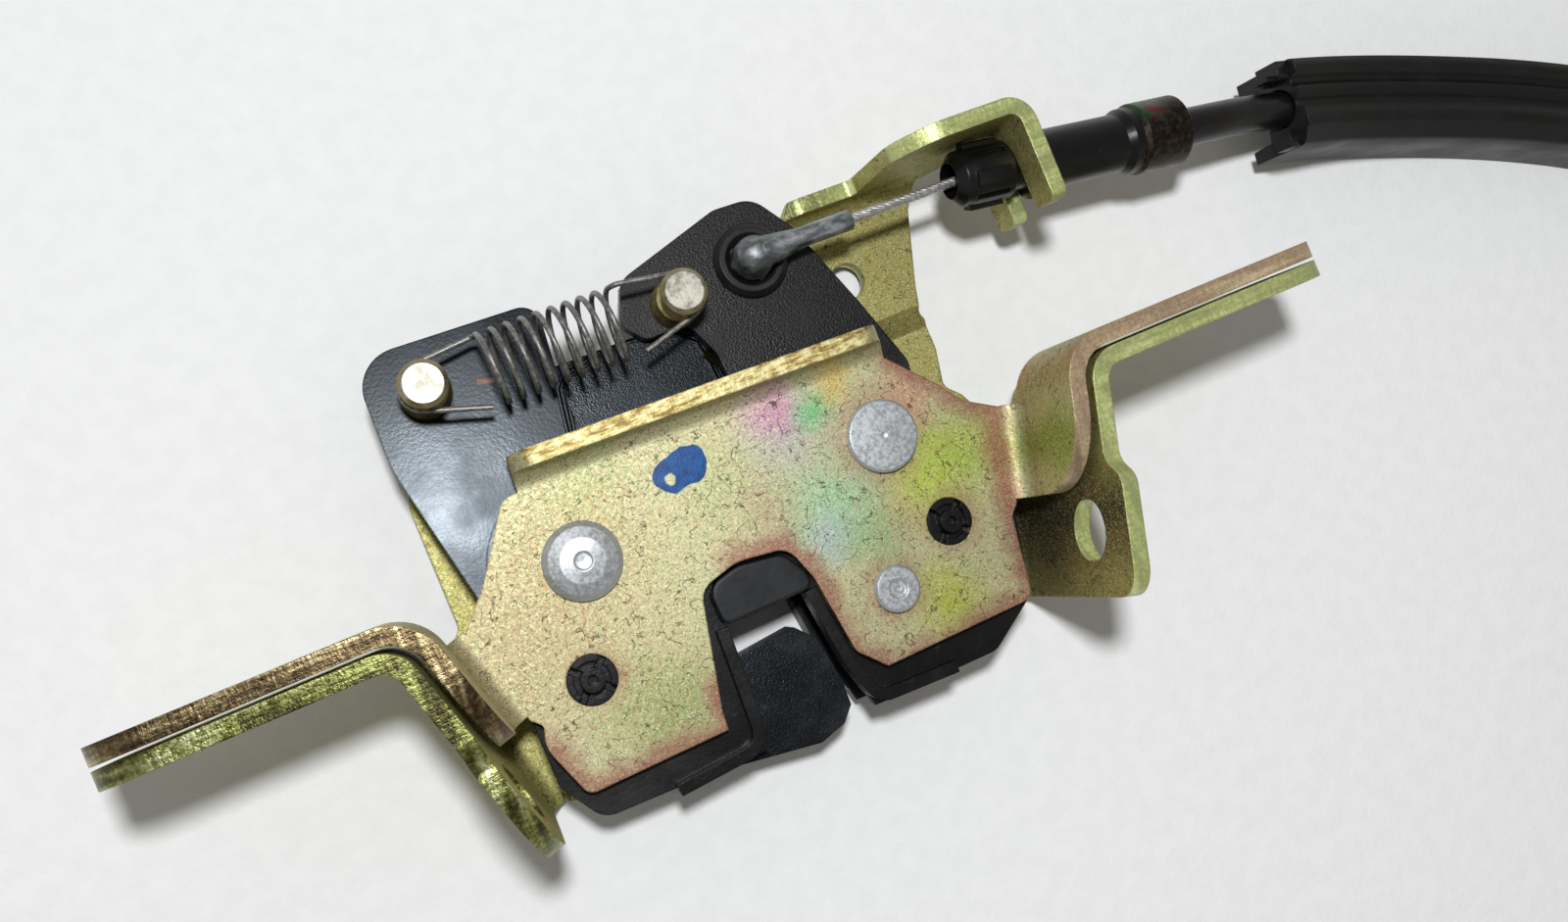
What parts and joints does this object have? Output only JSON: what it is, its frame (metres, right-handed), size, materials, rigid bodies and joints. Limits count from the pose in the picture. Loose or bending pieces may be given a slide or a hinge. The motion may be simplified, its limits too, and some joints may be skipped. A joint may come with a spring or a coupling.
{
  "type": "seat latch",
  "caption": "Rotary seat latch: a claw and a sprung pawl between two riveted sheet-steel plates with mounting wings, released by a sheathed cable.",
  "frame": {"origin": "on the back plate's rear face, midway between the two pivot rivets", "axes": "+X along the mounting wings towards the cable side, +Y from the striker slot towards the spring and the lever, +Z out of the back plate through the front plate"},
  "size_m": [0.3582, 0.1625, 0.0431],
  "materials": {
    "zinc_sheet": "yellow zinc chromate with gold, green and pink mottling",
    "rivet_steel": "pale zinc, headed",
    "post_steel": "pale nickel with a brassy rim",
    "claw_black": "satin black moulded skin over steel",
    "lever_black": "fine-grained satin black moulded skin over steel",
    "guide_plastic": "matt black",
    "bumper_plastic": "smooth dark bluish grey",
    "bush_plastic": "matt black",
    "spring_steel": "bare spring wire",
    "zinc_cast": "rough grey zinc casting",
    "wire_steel": "stranded wire",
    "fitting_plastic": "satin black",
    "ferrule_metal": "dark brown-black",
    "conduit_black": "satin black",
    "sleeve_rubber": "ribbed black rubber"
  },
  "bodies": {
    "frame": {"back_plate": "zinc_sheet", "front_plate": "zinc_sheet", "front_guide": "guide_plastic", "back_guide": "guide_plastic", "striker_bumper": "bumper_plastic", "claw_rivet": "rivet_steel", "pawl_rivet": "rivet_steel", "stop_rivet": "rivet_steel", "conduit_fitting": "fitting_plastic", "crimp_ferrule": "ferrule_metal", "conduit": "conduit_black", "sleeve": "sleeve_rubber", "far_ferrule": "ferrule_metal", "far_fitting": "fitting_plastic"},
    "claw_body": {"claw": "claw_black", "claw_spring_post": "post_steel"},
    "pawl_body": {"pawl_lever": "lever_black", "pawl_spring_post": "post_steel", "eyelet_bush": "bush_plastic"},
    "cable_body": {"cable_end": "zinc_cast", "cable_wire": "wire_steel"},
    "spring_body": {"tension_spring": "spring_steel"},
    "spring_leg_body": {"spring_pawl_leg": "spring_steel"},
    "far_body": {"far_wire": "wire_steel", "far_nipple": "zinc_cast"}
  },
  "joints": [
    {"name": "pawl_turn", "type": "hinge", "parent": "frame", "child": "pawl_body", "pos_m": [0.0265, 0, 0.0091], "axis": [0, 0, -1], "range_deg": [0, 18], "stiffness_Nm_per_rad": 0.4, "springref_deg": -25.78},
    {"name": "claw_turn", "type": "hinge", "parent": "frame", "child": "claw_body", "pos_m": [-0.0265, 0, 0.0098], "axis": [0, 0, -1], "range_deg": [0, 32.5]},
    {"name": "cable_pivot", "type": "hinge", "parent": "pawl_body", "child": "cable_body", "pos_m": [0.0182, 0.0353, 0.0195], "axis": [0, 0, 1], "range_deg": [0, 16.5]},
    {"name": "spring_turn", "type": "hinge", "parent": "claw_body", "child": "spring_body", "pos_m": [-0.0386, 0.0334, 0.0213], "axis": [0, 0, 1], "range_deg": [0, 38]},
    {"name": "spring_shorten", "type": "slide", "parent": "spring_body", "child": "spring_leg_body", "axis": [0.9999, -0.0119, 0], "range_m": [-0.0087, 0], "deforming": ["tension_spring"]},
    {"name": "far_wire_pull", "type": "slide", "parent": "frame", "child": "far_body", "axis": [-0.9898, -0.1291, 0.0602], "range_m": [0, 0.0115]}
  ],
  "couplings": [
    {"joint": "claw_turn", "follows": "pawl_turn", "ratio": 1.8},
    {"joint": "cable_pivot", "follows": "pawl_turn", "ratio": 0.9023},
    {"joint": "spring_turn", "follows": "pawl_turn", "ratio": 2.11},
    {"joint": "spring_shorten", "follows": "pawl_turn", "m_per_rad": -0.0264},
    {"joint": "far_wire_pull", "follows": "pawl_turn", "m_per_rad": 0.0359}
  ]
}
